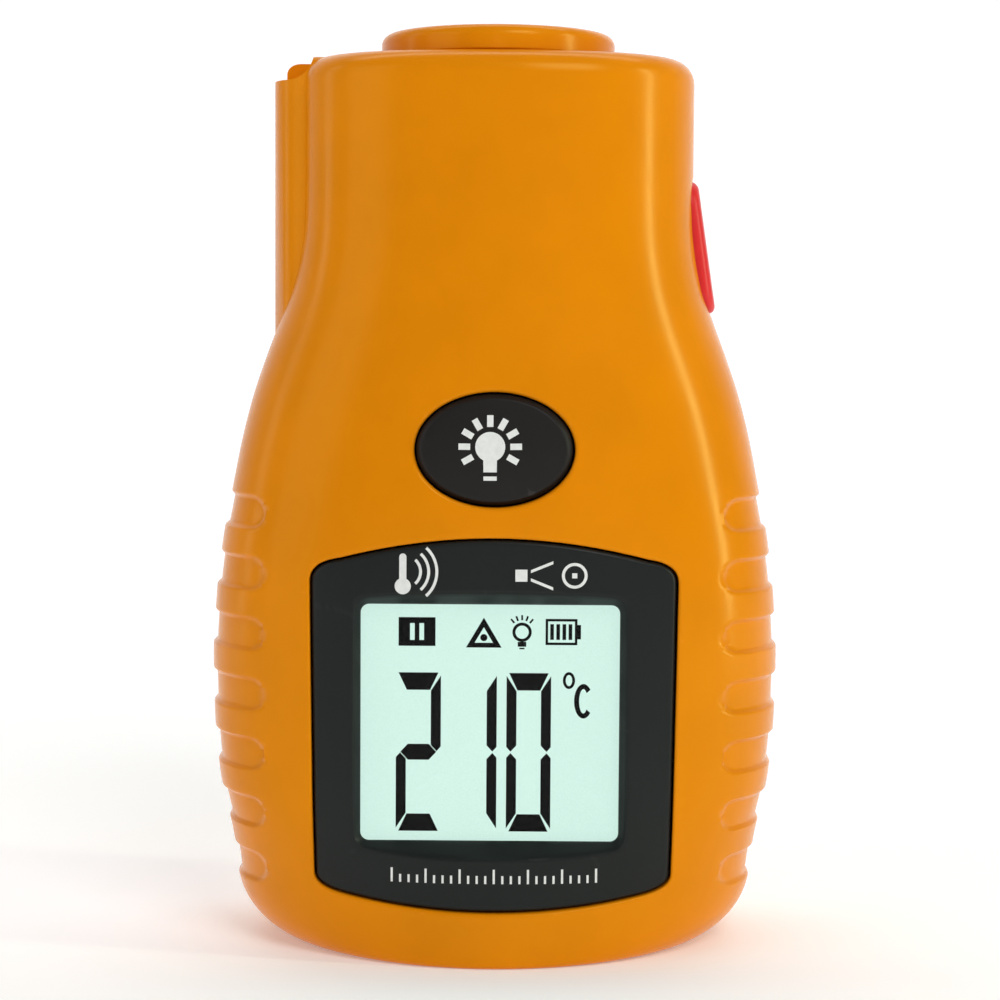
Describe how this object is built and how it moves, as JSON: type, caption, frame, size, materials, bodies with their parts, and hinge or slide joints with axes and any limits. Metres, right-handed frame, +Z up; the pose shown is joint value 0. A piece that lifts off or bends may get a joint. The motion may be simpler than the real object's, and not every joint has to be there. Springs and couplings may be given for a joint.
{
  "type": "infrared thermometer",
  "caption": "Pocket infrared thermometer with a waisted ribbed casing, square display, oval backlight key, side trigger, round sensor collar on top and a laser column beside it.",
  "frame": {"origin": "centre of the flat base, on the parting plane and on the axis of the sensor collar", "axes": "+Z up towards the sensor collar, -Y out of the display, +X towards the trigger side as seen from the front"},
  "size_m": [0.0692, 0.0396, 0.1106],
  "materials": {
    "orange": "satin",
    "panel_black": "gloss",
    "key_black": "satin",
    "trigger_red": "satin",
    "clear": "gloss",
    "lcd": "satin",
    "white_plastic": "matte",
    "board_green": "satin",
    "chip_black": "matte",
    "switch_grey": "matte",
    "brass": "satin",
    "steel": "satin",
    "lens_dark": "gloss",
    "cell_wrap": "satin",
    "label_grey": "satin",
    "wire_red": "satin",
    "wire_black": "satin",
    "ribbon_film": "satin"
  },
  "bodies": {
    "housing": {"amplifier_chip": "chip_black", "backlight_led_left": "white_plastic", "backlight_led_right": "white_plastic", "backlight_switch": "switch_grey", "battery_lead_negative": "wire_black", "battery_lead_positive": "wire_red", "battery_left": "cell_wrap", "battery_right": "cell_wrap", "board_screw_1": "steel", "board_screw_2": "steel", "board_screw_3": "steel", "board_screw_4": "steel", "bridge_contact": "steel", "case_screw_1": "steel", "case_screw_2": "steel", "case_screw_3": "steel", "case_screw_4": "steel", "contact_spring_left": "steel", "contact_spring_right": "steel", "crystal": "steel", "display_bezel": "panel_black", "display_window": "clear", "filter_capacitor": "steel", "front_shell": "orange", "ir_lens": "lens_dark", "laser_barrel": "brass", "laser_lead_negative": "wire_black", "laser_lead_positive": "wire_red", "laser_sleeve": "key_black", "laser_window": "clear", "lcd_glass": "lcd", "lcd_holder": "white_plastic", "lens_holder": "chip_black", "lens_ring": "steel", "light_guide": "clear", "main_board": "board_green", "microcontroller": "chip_black", "negative_contact": "steel", "positive_contact": "steel", "rear_shell": "orange", "sensor_board": "board_green", "sensor_collar": "orange", "sensor_ribbon": "ribbon_film", "thermopile": "steel", "trigger_switch": "switch_grey", "zebra_strip": "key_black"},
    "backlight_key": {"backlight_button": "key_black", "backlight_plunger": "chip_black"},
    "trigger": {"trigger_button": "trigger_red", "trigger_plunger": "chip_black"},
    "door": {"battery_door": "orange", "door_label": "label_grey"}
  },
  "joints": [
    {"name": "backlight_press", "type": "slide", "parent": "housing", "child": "backlight_key", "axis": [0, 1, 0], "range_m": [0, 0.0008], "stiffness_N_per_m": 1500},
    {"name": "trigger_press", "type": "slide", "parent": "housing", "child": "trigger", "axis": [-1, 0, 0], "range_m": [0, 0.0015], "stiffness_N_per_m": 1500},
    {"name": "battery_door_tilt", "type": "hinge", "parent": "housing", "child": "door", "pos_m": [0, 0.0198, 0.00775], "axis": [-1, 0, 0], "range_deg": [0, 70]}
  ]
}
